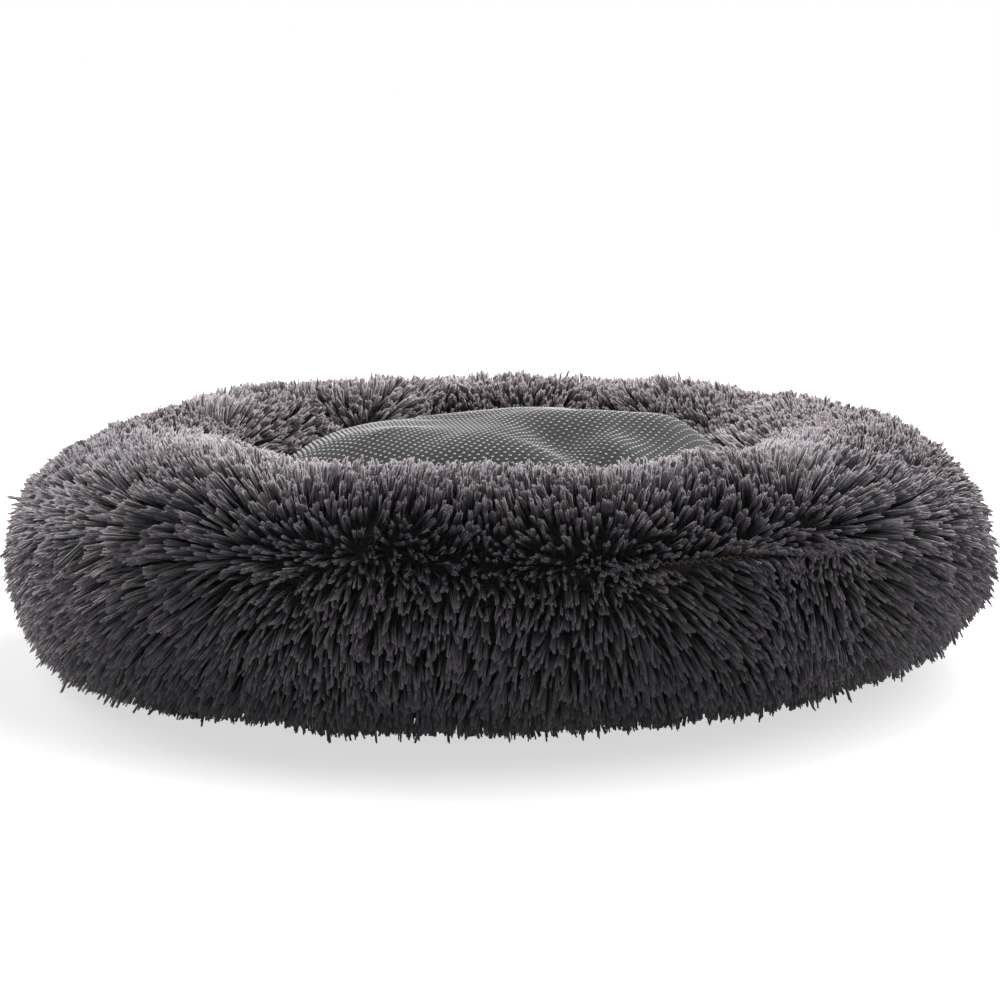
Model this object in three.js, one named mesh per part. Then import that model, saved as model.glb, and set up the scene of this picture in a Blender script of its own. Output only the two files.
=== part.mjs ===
// A round plush dog bed, lying upside down with its non-slip base cloth on top and its nest on the floor.
// Two rings of long-pile fabric, sewn together round the outside, cover a soft bolster. One inner seam
// joins them to a round pad, which is a dotted base cloth and a plush nest floor with filling between.
// Millimetres, +Z up. The origin is in the middle of the footprint, at floor level.
import * as THREE from "three";

// Overall sizes, over the tips of the pile
const bedDiameter = 700;
const bedHeight = 172;
const bolsterWidth = 200;
const widestHeight = 72; // height at which the bolster is widest
const flattening = 6; // how far the floor presses the round underside in
const crownBelowTop = 4; // how much lower the base cloth's crown is than the bolster's top
const nestDepth = 66; // from the floor up to the pile in the middle of the nest

// Fabrics and thread
const pileLength = 22;
const backingThickness = 1.8; // the knitted ground that carries the pile
const crushedShare = 0.3; // the least that the floor leaves of the fabric's depth
const baseClothThickness = 1.2;
const seamAllowance = 9; // width of the edges turned in at each seam
const overlockWidth = 5; // how much of the turned edges the overlock stitch wraps
const threadDiameter = 1.2;
const fitGap = 0.35; // left between pieces that touch
const padInset = 1.5; // how far the pad's filling stops short of the inner seam
const channelInset = 1.4; // how far into the bolster its filling's channels for the seams start

// Places on the bolster's section, as angles from its outermost point, over the top
const outerSeamAngle = THREE.MathUtils.degToRad(32);
const baseRimAngle = THREE.MathUtils.degToRad(143); // where the pile meets the base cloth
const innerSeamAngle = THREE.MathUtils.degToRad(155);
const nestRimAngle = THREE.MathUtils.degToRad(-182); // where it meets the nest floor's pile

// The base cloth's dome and its soft hollows and swellings
const domeFullness = 3.2; // power of the dome's curve: more is flatter on top
const nestFullness = 2;
const wrinkleHeight = 9;
const wrinkleShares = [
  { x: 0.41, y: -0.32, reach: 0.28, rise: -1 },
  { x: 0.64, y: 0.04, reach: 0.27, rise: 0.6 },
  { x: 0.12, y: 0.2, reach: 0.3, rise: 0.35 },
  { x: -0.27, y: 0.05, reach: 0.33, rise: -0.35 },
  { x: -0.64, y: -0.23, reach: 0.3, rise: 0.35 },
];

// How the filling swells the bolster: waves round the ring, and single dents as azimuths
const swellHeight = 2.4;
const crestSwellShare = 0.6; // how much of the swelling shows in the bolster's height
const swellShares = [
  { count: 2, phase: 0.6, rise: 0.8 },
  { count: 3, phase: 2.1, rise: 1 },
  { count: 5, phase: 4.0, rise: 0.75 },
  { count: 8, phase: 1.3, rise: 0.5 },
];
const dentDepth = 8;
const dentReach = THREE.MathUtils.degToRad(9);
const dentShares = [
  { azimuth: THREE.MathUtils.degToRad(-121), depth: 0.85 },
  { azimuth: THREE.MathUtils.degToRad(-73), depth: 0.5 },
  { azimuth: THREE.MathUtils.degToRad(-47), depth: 1 },
  { azimuth: THREE.MathUtils.degToRad(38), depth: 0.6 },
  { azimuth: THREE.MathUtils.degToRad(158), depth: 0.6 },
];

// The top sags on the left, and the outer underside lifts off the floor towards the right front
const sagDepth = 13;
const sagAzimuth = THREE.MathUtils.degToRad(178);
const sagReach = THREE.MathUtils.degToRad(24);
const liftDepth = 12;
const liftAzimuth = THREE.MathUtils.degToRad(-45);
const liftStart = THREE.MathUtils.degToRad(-105); // where on the section the lift starts
const liftFull = THREE.MathUtils.degToRad(-85);

// The pile parts along the outer seam, and deeper where the filling slit was sewn up last
const partingDepth = 5;
const partingWidth = 10;
const slitPartingDepth = 9;
const slitStart = THREE.MathUtils.degToRad(-76);
const slitEnd = THREE.MathUtils.degToRad(-50);
const slitBlend = THREE.MathUtils.degToRad(7);
const slitStitches = 34;
const stitchReach = 1.2; // how far each closing stitch goes over the seam to either side

// Fineness of the meshes
const ringSteps = 52;
const crestSteps = 9;
const sideSteps = 5;
const innerWallSteps = 3;
const baseLiningSteps = 4;
const nestLiningSteps = 5;
const domeSteps = 7;
const nestFloorSteps = 4;
const crowding = 1.4; // sets the section's points closer together near the outer seam
const liningInset = THREE.MathUtils.degToRad(11); // how far the lining's points stay off the seams
const threadSides = 5;
const stepsPerStitch = 4;

// Sizes that follow
const fullTurn = 2 * Math.PI;
const stepTurn = fullTurn / ringSteps;
const fabricThickness = pileLength + backingThickness;
const halfWidth = bolsterWidth / 2;
const upperHeight = bedHeight - widestHeight;
const lowerHeight = widestHeight + flattening;
const contactAngle = Math.asin(widestHeight / lowerHeight);
const bolsterRadius = bedDiameter / 2 - halfWidth;
const clothRadius = bolsterRadius - halfWidth;
const threadRadius = threadDiameter / 2;

// The layers at the inner seam, as distances across the turned edges from between the cloths
const baseClothFace = fitGap / 2;
const baseFurFace = baseClothFace + baseClothThickness + fitGap;
const nestFloorFace = -fitGap / 2;
const nestFurFace = nestFloorFace - backingThickness - fitGap;
const innerHigh = baseFurFace + backingThickness;
const innerLow = nestFurFace - backingThickness;
const outerLayers = fitGap / 2 + backingThickness; // to either side of the outer seam

// A smooth hump of height 1 that falls away from offset 0
function hump(offset, reach) {
  return Math.exp(-((offset / reach) ** 2));
}

// The shortest way round from one azimuth to another
function turnBetween(from, to) {
  return Math.atan2(Math.sin(to - from), Math.cos(to - from));
}

// Even steps from one number to another, both ends included
function stepsBetween(from, to, count) {
  return Array.from({ length: count + 1 }, (_, i) => from + ((to - from) * i) / count);
}

// How far the filling pushes the cover out at this azimuth
function swellAt(azimuth) {
  let swell = 0;
  for (const wave of swellShares) {
    swell += swellHeight * wave.rise * Math.cos(wave.count * azimuth + wave.phase);
  }
  for (const dent of dentShares) {
    swell -= dentDepth * dent.depth * hump(turnBetween(dent.azimuth, azimuth), dentReach);
  }
  return swell;
}

// How far the bolster's top sags at this azimuth
function sagAt(azimuth) {
  return sagDepth * hump(turnBetween(azimuth, sagAzimuth), sagReach);
}

// How far the underside lifts off the floor, here round the bed and along the section
function liftAt(azimuth, angle) {
  const towards = Math.max(Math.cos(azimuth - liftAzimuth), 0);
  const along = THREE.MathUtils.smoothstep(Math.cos(angle), Math.cos(liftStart), Math.cos(liftFull));
  return liftDepth * towards * along;
}

// A place on the bolster's section, this deep under the tips of the pile: x is the radius from the
// bed's axis and y the height. The section is an egg of two half ellipses, pressed flat by the floor.
function sectionPlace(azimuth, angle, depth) {
  const swell = swellAt(azimuth);
  const rise = Math.sin(angle);
  const upperReach = upperHeight + swell * crestSwellShare - sagAt(azimuth);
  const reach = rise > 0 ? upperReach : lowerHeight - liftAt(azimuth, angle);
  return new THREE.Vector2(
    bolsterRadius + (halfWidth + swell - depth) * Math.cos(angle),
    Math.max(widestHeight + (reach - depth) * rise, depth * crushedShare),
  );
}

// The frame of a seam: the place where the grounds of its fabrics meet, the way into the bolster,
// and the way across the turned edges towards the base
function seamAt(azimuth, angle) {
  const ground = sectionPlace(azimuth, angle, fabricThickness);
  const into = new THREE.Vector2(bolsterRadius, widestHeight).sub(ground).normalize();
  const across = new THREE.Vector2(-into.y, into.x);
  if (across.y < 0) {
    across.negate();
  }
  return { ground, into, across };
}

// The place this far into the bolster from a seam's ground and this far across its edges
function placeAt(seam, into, across) {
  return seam.ground.clone().addScaledVector(seam.into, into).addScaledVector(seam.across, across);
}

// How deep the pile is parted along the outer seam
function partingAt(azimuth) {
  const offSlit = Math.max(turnBetween(azimuth, slitStart), turnBetween(slitEnd, azimuth), 0);
  return partingDepth + (slitPartingDepth - partingDepth) * hump(offSlit, slitBlend);
}

// A place on the bare strip where the pile parts, this far across the outer seam
function partedPlace(azimuth, across) {
  return placeAt(seamAt(azimuth, outerSeamAngle), partingAt(azimuth) - fabricThickness, across);
}

// Angles along one cover's pile, from beside the parting to its inner rim
function pileAngles(side) {
  const reach = side > 0 ? baseRimAngle : -contactAngle;
  const steps = side > 0 ? crestSteps : sideSteps;
  const shares = stepsBetween(0, 1, steps).slice(1);
  const angles = shares.map((share) => outerSeamAngle + (reach - outerSeamAngle) * share ** crowding);
  const innerWall = stepsBetween(contactAngle - Math.PI, nestRimAngle, innerWallSteps);
  return side > 0 ? angles : [...angles, (liftStart + liftFull) / 2, ...innerWall];
}

// Angles along one cover's inner face, from the inner seam back to the outer one
function liningAngles(side) {
  if (side > 0) {
    return stepsBetween(innerSeamAngle - liningInset, outerSeamAngle + liningInset, baseLiningSteps);
  }
  const first = innerSeamAngle + liningInset - fullTurn;
  return stepsBetween(first, outerSeamAngle - liningInset, nestLiningSteps);
}

// One of the bolster's two covers, its edges turned in at both seams. side is 1 for the cover on the
// base side and minus 1 for the nest side, and face is where its turned edge starts at the inner seam.
function coverSection(azimuth, side, face) {
  const outer = seamAt(azimuth, outerSeamAngle);
  const inner = seamAt(azimuth, innerSeamAngle);
  const outerFace = (side * fitGap) / 2;
  const thickness = side * backingThickness;
  return [
    partedPlace(azimuth, outerFace),
    partedPlace(azimuth, (side * partingWidth) / 2),
    ...pileAngles(side).map((angle) => sectionPlace(azimuth, angle, 0)),
    placeAt(inner, 0, face),
    placeAt(inner, seamAllowance, face),
    placeAt(inner, seamAllowance, face + thickness),
    placeAt(inner, 0, face + thickness),
    ...liningAngles(side).map((angle) => sectionPlace(azimuth, angle, fabricThickness)),
    placeAt(outer, 0, outerFace + thickness),
    placeAt(outer, seamAllowance, outerFace + thickness),
    placeAt(outer, seamAllowance, outerFace),
  ];
}

// Height that the wrinkles add to the base cloth, fading out at its rim
function wrinkleAt(azimuth, radius, share) {
  const x = radius * Math.cos(azimuth);
  const y = radius * Math.sin(azimuth);
  let height = 0;
  for (const wrinkle of wrinkleShares) {
    const away = Math.hypot(x - wrinkle.x * clothRadius, y - wrinkle.y * clothRadius);
    height += wrinkleHeight * wrinkle.rise * hump(away, wrinkle.reach * clothRadius);
  }
  return height * (1 - share ** 4);
}

// The base cloth's dome from its crown to its rim, this far under its upper face. The rim lies on the
// cut end of the pile.
function domePlaces(azimuth, under) {
  const inner = seamAt(azimuth, innerSeamAngle);
  const rim = sectionPlace(azimuth, baseRimAngle, 0).addScaledVector(inner.across, -fitGap - under);
  const crown = bedHeight - crownBelowTop - under;
  return stepsBetween(0, 1, domeSteps).map((share) => {
    const radius = rim.x * share;
    const height = crown + (rim.y - crown) * share ** domeFullness;
    return new THREE.Vector2(radius, height + wrinkleAt(azimuth, radius, share));
  });
}

function baseClothSection(azimuth) {
  const inner = seamAt(azimuth, innerSeamAngle);
  return [
    ...domePlaces(azimuth, 0),
    placeAt(inner, 0, baseClothFace + baseClothThickness),
    placeAt(inner, seamAllowance, baseClothFace + baseClothThickness),
    placeAt(inner, seamAllowance, baseClothFace),
    placeAt(inner, 0, baseClothFace),
    ...domePlaces(azimuth, baseClothThickness).reverse(),
  ];
}

// A sagging face across the nest, from the middle at this height out to a rim
function sagTo(rim, middleHeight) {
  return stepsBetween(0, 1, nestFloorSteps).map((share) => {
    const height = middleHeight + (rim.y - middleHeight) * share ** nestFullness;
    return new THREE.Vector2(rim.x * share, height);
  });
}

// The nest floor: its turned edge, its ground over the whole nest and its pile hanging into the nest
function nestFloorSection(azimuth) {
  const inner = seamAt(azimuth, innerSeamAngle);
  const tip = sectionPlace(azimuth, nestRimAngle, 0);
  const edge = tip.clone().sub(inner.ground).normalize();
  tip.addScaledVector(new THREE.Vector2(edge.y, -edge.x), fitGap);
  return [
    ...sagTo(placeAt(inner, 0, nestFloorFace), nestDepth + fabricThickness),
    placeAt(inner, seamAllowance, nestFloorFace),
    placeAt(inner, seamAllowance, nestFloorFace - backingThickness),
    placeAt(inner, 0, nestFloorFace - backingThickness),
    ...sagTo(tip, nestDepth).reverse(),
  ];
}

// The pad's filling, which narrows to a blunt edge at the inner seam
function padFillSection(azimuth) {
  const inner = seamAt(azimuth, innerSeamAngle);
  const floorRim = placeAt(inner, -padInset, nestFloorFace);
  return [
    ...domePlaces(azimuth, baseClothThickness + fitGap),
    placeAt(inner, -padInset, 0),
    ...sagTo(floorRim, nestDepth + fabricThickness + fitGap).reverse().slice(1),
  ];
}

// A channel round turned edges, from low to high across them, this clear of them all round
function channelAround(seam, low, high, clearance, start) {
  const end = seamAllowance + clearance;
  return [
    placeAt(seam, start, high + clearance),
    placeAt(seam, end, high + clearance),
    placeAt(seam, end, low - clearance),
    placeAt(seam, start, low - clearance),
  ];
}

// The bolster's filling, with a channel for the turned edges of each seam
function bolsterFillSection(azimuth) {
  const depth = fabricThickness + fitGap;
  const clearance = threadDiameter + 2 * fitGap;
  const lining = (side) => liningAngles(side).map((angle) => sectionPlace(azimuth, angle, depth));
  const outer = seamAt(azimuth, outerSeamAngle);
  const inner = seamAt(azimuth, innerSeamAngle);
  return [
    ...lining(1).reverse(),
    ...channelAround(inner, innerLow, innerHigh, clearance, channelInset),
    ...lining(-1),
    ...channelAround(outer, -outerLayers, outerLayers, clearance, channelInset).reverse(),
  ];
}

// The overlock stitch wraps the turned edges of a seam and holds them together
function overlockSection(seam, low, high) {
  const start = seamAllowance - overlockWidth;
  return [
    ...channelAround(seam, low, high, fitGap + threadDiameter, start),
    ...channelAround(seam, low, high, fitGap, start).reverse(),
  ];
}

// The point at this azimuth round the bed's axis, from a place in the section there
function turned(place, azimuth) {
  return new THREE.Vector3(place.x * Math.cos(azimuth), place.x * Math.sin(azimuth), place.y);
}

// Adds a four-cornered face. It is split along the diagonal that lies deeper in the piece, so that
// the twisted faces of neighbouring pieces keep clear of each other.
function addFace(faces, points, a, b, c, d) {
  const outward = points[c].clone().sub(points[a]).cross(points[d].clone().sub(points[b]));
  const ridge = points[a].clone().add(points[c]).sub(points[b]).sub(points[d]).dot(outward);
  faces.push(...(ridge > 0 ? [a, b, d, b, c, d] : [a, b, c, a, c, d]));
}

function geometryOf(points, faces) {
  const geometry = new THREE.BufferGeometry().setFromPoints(points);
  geometry.setIndex(faces);
  geometry.computeVertexNormals();
  return geometry;
}

// A ring whose section is a closed outline at each azimuth, or an arc of one between two steps
function ringGeometry(sectionAt, firstStep = 0, lastStep = ringSteps) {
  const isClosed = lastStep - firstStep === ringSteps;
  const count = lastStep - firstStep + (isClosed ? 0 : 1);
  const sections = [];
  const points = [];
  const faces = [];
  for (let i = 0; i < count; i++) {
    const azimuth = (firstStep + i) * stepTurn;
    const section = sectionAt(azimuth);
    if (THREE.ShapeUtils.isClockWise(section)) {
      section.reverse();
    }
    sections.push(section);
    points.push(...section.map((place) => turned(place, azimuth)));
  }
  const around = sections[0].length;
  for (let i = 0; i < lastStep - firstStep; i++) {
    const here = i * around;
    const next = ((i + 1) % count) * around;
    for (let j = 0; j < around; j++) {
      const beside = (j + 1) % around;
      addFace(faces, points, here + j, next + j, next + beside, here + beside);
    }
  }
  if (!isClosed) {
    const last = (count - 1) * around;
    const triangles = THREE.ShapeUtils.triangulateShape(sections[0], []);
    for (const [a, b, c] of triangles) {
      faces.push(a, b, c, last + c, last + b, last + a);
    }
  }
  return geometryOf(points, faces);
}

// A disc whose section runs from the top of the bed's axis, over the rim, to the foot of the axis
function discGeometry(sectionAt) {
  const points = [];
  const faces = [];
  for (let i = 0; i < ringSteps; i++) {
    const azimuth = i * stepTurn;
    points.push(...sectionAt(azimuth).slice(1, -1).map((place) => turned(place, azimuth)));
  }
  const around = points.length / ringSteps;
  const top = points.length;
  const foot = top + 1;
  points.push(turned(sectionAt(0)[0], 0), turned(sectionAt(0).at(-1), 0));
  for (let i = 0; i < ringSteps; i++) {
    const here = i * around;
    const next = ((i + 1) % ringSteps) * around;
    for (let j = 0; j + 1 < around; j++) {
      addFace(faces, points, next + j, here + j, here + j + 1, next + j + 1);
    }
    faces.push(top, here, next, foot, next + around - 1, here + around - 1);
  }
  return geometryOf(points, faces);
}

// A point at any azimuth on the flat face between the two nearest steps of a ring
function facetPoint(placeAtAzimuth, azimuth) {
  const step = Math.floor(azimuth / stepTurn);
  const from = turned(placeAtAzimuth(step * stepTurn), step * stepTurn);
  const to = turned(placeAtAzimuth((step + 1) * stepTurn), (step + 1) * stepTurn);
  return from.lerp(to, azimuth / stepTurn - step);
}

// The small stitches that close the filling slit: one thread that crosses the seam to and fro
function closingStitchGeometry() {
  const steps = slitStitches * stepsPerStitch;
  const lift = fitGap + threadRadius;
  const points = stepsBetween(0, 1, steps).map((share) => {
    const across = stitchReach * Math.sin(fullTurn * slitStitches * share);
    const onParting = (azimuth) =>
      placeAt(seamAt(azimuth, outerSeamAngle), partingAt(azimuth) - fabricThickness - lift, across);
    return facetPoint(onParting, slitStart + (slitEnd - slitStart) * share);
  });
  const round = stepsBetween(0, fullTurn, threadSides).slice(1);
  const outline = round.map(
    (turn) => new THREE.Vector2(threadRadius * Math.cos(turn), threadRadius * Math.sin(turn)),
  );
  return new THREE.ExtrudeGeometry(new THREE.Shape(outline), {
    steps,
    extrudePath: new THREE.CatmullRomCurve3(points),
    bevelEnabled: false,
  });
}

// Materials
const fur = new THREE.MeshStandardMaterial({ color: 0x4b474b, roughness: 0.9, metalness: 0 });
const nestFur = new THREE.MeshStandardMaterial({ color: 0x57525a, roughness: 0.9, metalness: 0 });
const dottedCloth = new THREE.MeshStandardMaterial({ color: 0x6c6a6c, roughness: 0.7, metalness: 0 });
const fibre = new THREE.MeshStandardMaterial({ color: 0xe9e7e2, roughness: 0.95, metalness: 0 });
const thread = new THREE.MeshStandardMaterial({ color: 0x5a4a44, roughness: 0.6, metalness: 0 });

const bed = new THREE.Group();

function addPiece(name, geometry, material) {
  const mesh = new THREE.Mesh(geometry, material);
  mesh.name = name;
  bed.add(mesh);
}

const baseCover = (azimuth) => coverSection(azimuth, 1, baseFurFace);
const nestCover = (azimuth) => coverSection(azimuth, -1, nestFurFace);
const outerOverlock = (azimuth) =>
  overlockSection(seamAt(azimuth, outerSeamAngle), -outerLayers, outerLayers);
const innerOverlock = (azimuth) =>
  overlockSection(seamAt(azimuth, innerSeamAngle), innerLow, innerHigh);

addPiece("base_fur_ring", ringGeometry(baseCover), fur);
addPiece("nest_fur_ring", ringGeometry(nestCover), nestFur);
addPiece("base_cloth", discGeometry(baseClothSection), dottedCloth);
addPiece("nest_floor", discGeometry(nestFloorSection), nestFur);
addPiece("bolster_fill", ringGeometry(bolsterFillSection), fibre);
addPiece("pad_fill", discGeometry(padFillSection), fibre);
const overlockFirst = Math.ceil(slitEnd / stepTurn);
const overlockLast = Math.floor(slitStart / stepTurn) + ringSteps;
addPiece("outer_overlock", ringGeometry(outerOverlock, overlockFirst, overlockLast), thread);
addPiece("inner_overlock", ringGeometry(innerOverlock), thread);
addPiece("closing_stitch", closingStitchGeometry(), thread);

// The swells make the ring a little uneven, so the footprint's middle is brought to the origin
const footprint = new THREE.Box3().setFromObject(bed);
const middle = footprint.getCenter(new THREE.Vector3());
bed.position.set(-middle.x, -middle.y, -footprint.min.z);

export default bed;
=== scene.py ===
import bpy
import numpy as np
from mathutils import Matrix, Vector


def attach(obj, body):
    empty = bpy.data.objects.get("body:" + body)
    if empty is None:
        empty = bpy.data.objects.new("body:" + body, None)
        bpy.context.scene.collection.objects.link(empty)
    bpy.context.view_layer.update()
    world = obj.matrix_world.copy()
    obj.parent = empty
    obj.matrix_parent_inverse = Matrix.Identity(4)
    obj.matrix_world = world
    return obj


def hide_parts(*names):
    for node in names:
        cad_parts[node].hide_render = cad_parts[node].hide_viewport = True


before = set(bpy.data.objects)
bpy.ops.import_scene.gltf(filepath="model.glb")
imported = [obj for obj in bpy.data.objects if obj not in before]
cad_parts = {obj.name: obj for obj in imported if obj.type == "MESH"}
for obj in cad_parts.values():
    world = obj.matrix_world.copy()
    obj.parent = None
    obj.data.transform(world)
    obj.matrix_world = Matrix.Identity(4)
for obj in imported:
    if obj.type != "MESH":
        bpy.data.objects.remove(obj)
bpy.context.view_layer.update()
scene = bpy.context.scene

# ---- Camera ----------------------------------------------------------
# The bed is seen from its front, from a little above, with a long lens 1.6 m away. The small shift
# puts the bed's middle where it stands in the frame.
VIEW_DISTANCE = 1.6
VIEW_ELEVATION = np.radians(9.81)
VIEW_TARGET = Vector((0.0, 0.0, 0.087))

camera_data = bpy.data.cameras.new("camera")
camera_data.lens = 79.67
camera_data.sensor_width = 36.0
camera_data.shift_x = 0.0013
camera_data.shift_y = 0.0263
camera = bpy.data.objects.new("camera", camera_data)
scene.collection.objects.link(camera)
camera.location = VIEW_TARGET + VIEW_DISTANCE * Vector(
    (0.0, -np.cos(VIEW_ELEVATION), np.sin(VIEW_ELEVATION))
)
camera.rotation_euler = (VIEW_TARGET - camera.location).to_track_quat("-Z", "Y").to_euler()
bpy.context.scene.camera = camera
bpy.context.scene.view_settings.view_transform = "Standard"

# ---- Bolster filling -------------------------------------------------
# Loose hollow polyester fibre, blown into the sewn ring through the slit at its outer seam. It
# fills the cover all round, and the turned-in seam edges press a groove into it. All sizes are in
# mm.
BED_AXIS = (2.3749, -3.4799)
BOLSTER_RADIUS = 250.0
HALF_WIDTH = 100.0
WIDEST_HEIGHT = 72.0
UPPER_HEIGHT = 100.0
LOWER_HEIGHT = 78.0
PILE_DEPTH = 22.0
GROUND_THICKNESS = 1.8
GROUND_BACK = PILE_DEPTH + GROUND_THICKNESS
CRUSHED_SHARE = 0.3
SEAM_ALLOWANCE = 9.0
THREAD_DIAMETER = 1.2
FIT_GAP = 0.35
OUTER_SEAM = np.radians(32.0)
BASE_RIM = np.radians(143.0)
INNER_SEAM = np.radians(155.0)
NEST_RIM = np.radians(-182.0)
LINING_INSET = np.radians(11.0)
CHANNEL_INSET = 1.4
# its waves round the ring, as count, phase and share of the rise
SWELL_RISE = 2.4
SWELLS = ((2, 0.6, 0.8), (3, 2.1, 1.0), (5, 4.0, 0.75), (8, 1.3, 0.5))
# its dents, as azimuth in degrees and share of the depth
DENT_DEPTH = 8.0
DENT_REACH = np.radians(9)
DENTS = ((-121, 0.85), (-73, 0.5), (-47, 1.0), (38, 0.6), (158, 0.6))
# the sag of its top on the left, and the lift of its outer underside at the right front
SWELL_UPWARDS = 0.6
SAG_DEPTH = 13.0
SAG_AZIMUTH = np.radians(178)
SAG_REACH = np.radians(24)
LIFT_HEIGHT = 12.0
LIFT_AZIMUTH = np.radians(-45)
LIFT_START = np.cos(np.radians(105))
LIFT_END = np.cos(np.radians(85))
# distances across the turned edges at the inner seam, from between the base cloth and the nest
# floor
BASE_CLOTH_THICKNESS = 1.2
BASE_CLOTH_FACE = FIT_GAP / 2
BASE_FUR_FACE = BASE_CLOTH_FACE + BASE_CLOTH_THICKNESS + FIT_GAP
NEST_FLOOR_FACE = -FIT_GAP / 2
NEST_FUR_FACE = NEST_FLOOR_FACE - GROUND_THICKNESS - FIT_GAP
# how far staggered rows stand apart, as a share of the step along each row
ROW_STEP = 0.87
# the azimuths at which every piece's section is made
AROUND = np.linspace(0.0, 2 * np.pi, 288, endpoint=False)


def hump(offset, reach):
    """A smooth hump: e to the power of minus the square of offset over reach."""
    return np.exp(-((offset / reach) ** 2))


def unit(vectors):
    """The same ways, each with a length of one."""
    return vectors / np.linalg.norm(vectors, axis=-1, keepdims=True)


def turn_between(start, end):
    """The shortest way round from one azimuth to another, by the arctangent of their turn."""
    return np.arctan2(np.sin(end - start), np.cos(end - start))


def swell_at(azimuth):
    """How far the filling pushes the cover out: a sum of waves round the ring, less a hump at each
    dent."""
    waves = sum(
        SWELL_RISE * rise * np.cos(count * azimuth + phase) for count, phase, rise in SWELLS
    )
    dents = sum(
        DENT_DEPTH * share * hump(turn_between(np.radians(at), azimuth), DENT_REACH)
        for at, share in DENTS
    )
    return waves - dents


def upper_reach(azimuth):
    """The bolster's height over its middle: it swells a little, and sags on the left as a hump."""
    sag = SAG_DEPTH * hump(turn_between(azimuth, SAG_AZIMUTH), SAG_REACH)
    return UPPER_HEIGHT + SWELL_UPWARDS * swell_at(azimuth) - sag


def lower_reach(azimuth, cosine):
    """The bolster's depth below its middle. Its outer underside lifts off the floor at the right
    front, by the cosine of the turn from there, and from nothing to all of it by a smooth step
    along the section's cosine."""
    share = np.clip((cosine - LIFT_START) / (LIFT_END - LIFT_START), 0, 1)
    towards = np.maximum(np.cos(azimuth - LIFT_AZIMUTH), 0)
    return LOWER_HEIGHT - LIFT_HEIGHT * towards * share**2 * (3 - 2 * share)


def section_place(azimuth, angle, depth):
    """Radius and height on the bolster's section: two half ellipses about its middle, smaller by
    the depth under the pile's tips, and pressed flat where they would go under the floor."""
    swell = swell_at(azimuth)
    rise = np.sin(angle)
    reach = np.where(rise > 0, upper_reach(azimuth), lower_reach(azimuth, np.cos(angle)))
    radius = BOLSTER_RADIUS + (HALF_WIDTH + swell - depth) * np.cos(angle)
    height = np.maximum(WIDEST_HEIGHT + (reach - depth) * rise, depth * CRUSHED_SHARE)
    return np.stack(np.broadcast_arrays(radius, height), axis=-1)


def seam_at(azimuth, angle):
    """The frame of a seam: where the grounds meet, the way into the bolster, and the way across
    the turned edges, a quarter turn from it and upwards."""
    ground = section_place(azimuth, angle, GROUND_BACK)
    into = unit(np.array([BOLSTER_RADIUS, WIDEST_HEIGHT]) - ground)
    across = np.stack([-into[..., 1], into[..., 0]], axis=-1)
    across = np.where(across[..., 1:] < 0, -across, across)
    return ground, into, across


def place_at(seam, into, across):
    """The place this far into the bolster from a seam's ground, and this far across its edges."""
    ground, inwards, sideways = seam
    return (ground + inwards * into + sideways * across)[:, None]


def section_run(first, last, count, depth):
    """Places along the section from one angle to another, at this depth, at every azimuth."""
    return section_place(AROUND[:, None], np.linspace(first, last, count)[None], depth)


def turned_edge(seam, start, end, first, last):
    """Four corners of what is turned in at a seam: in along its first face, back along its
    last."""
    corners = ((start, first), (end, first), (end, last), (start, last))
    return np.concatenate([place_at(seam, *corner) for corner in corners], axis=1)


def channel_around(seam, low, high):
    """Four corners of a channel round turned edges and their thread, open towards the seam."""
    clearance = THREAD_DIAMETER + 2 * FIT_GAP
    end = SEAM_ALLOWANCE + clearance
    return turned_edge(seam, CHANNEL_INSET, end, high + clearance, low - clearance)


def turned(section, azimuth):
    """Turns places in the section round the bed's axis: the radius becomes x and y by the
    azimuth's cosine and sine, and the height becomes z."""
    radius, height = section[..., 0], section[..., 1]
    x = BED_AXIS[0] + radius * np.cos(azimuth)
    y = BED_AXIS[1] + radius * np.sin(azimuth)
    return np.stack(np.broadcast_arrays(x, y, height), axis=-1)


def grid_faces(rows, columns, close_columns):
    """Four-cornered faces between neighbouring points of a grid that closes on itself round its
    rows."""
    i = np.arange(rows)[:, None]
    j = np.arange(columns if close_columns else columns - 1)[None]
    i2, j2 = (i + 1) % rows, (j + 1) % columns
    corners = (i * columns + j, i2 * columns + j, i2 * columns + j2, i * columns + j2)
    return np.stack(corners, axis=-1).reshape(-1, 4)


def make_piece(name, points, faces, material, uv=None):
    """Puts points, in mm, and arrays of faces into a mesh, and fixes the piece to the bed."""
    mesh = bpy.data.meshes.new(name)
    loops = np.concatenate([f.ravel() for f in faces]).astype(np.int32)
    counts = np.concatenate([np.full(len(f), f.shape[1]) for f in faces])
    starts = np.concatenate([[0], np.cumsum(counts)[:-1]]).astype(np.int32)
    mesh.vertices.add(len(points))
    mesh.vertices.foreach_set("co", (points * 0.001).astype(np.float32).ravel())
    mesh.loops.add(len(loops))
    mesh.loops.foreach_set("vertex_index", loops)
    mesh.polygons.add(len(counts))
    mesh.polygons.foreach_set("loop_start", starts)
    mesh.update(calc_edges=True)
    mesh.polygons.foreach_set("use_smooth", np.full(len(counts), True))
    if uv is not None:
        layer = mesh.uv_layers.new(name="OFBake")
        layer.data.foreach_set("uv", uv.astype(np.float32).ravel())
    mesh.materials.append(material)
    piece = bpy.data.objects.new(name, mesh)
    scene.collection.objects.link(piece)
    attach(piece, "root")
    return piece


def joined(runs):
    """A closed section of these runs, in the order that makes its faces look outwards, by the sign
    of its outline's area, a sum of cross products of its corners."""
    section = np.concatenate(runs, axis=1)
    x, y = section[..., 0], section[..., 1]
    area = np.mean(np.sum(x * np.roll(y, -1, 1) - y * np.roll(x, -1, 1), axis=1))
    return section[:, ::-1] if area < 0 else section


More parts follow.
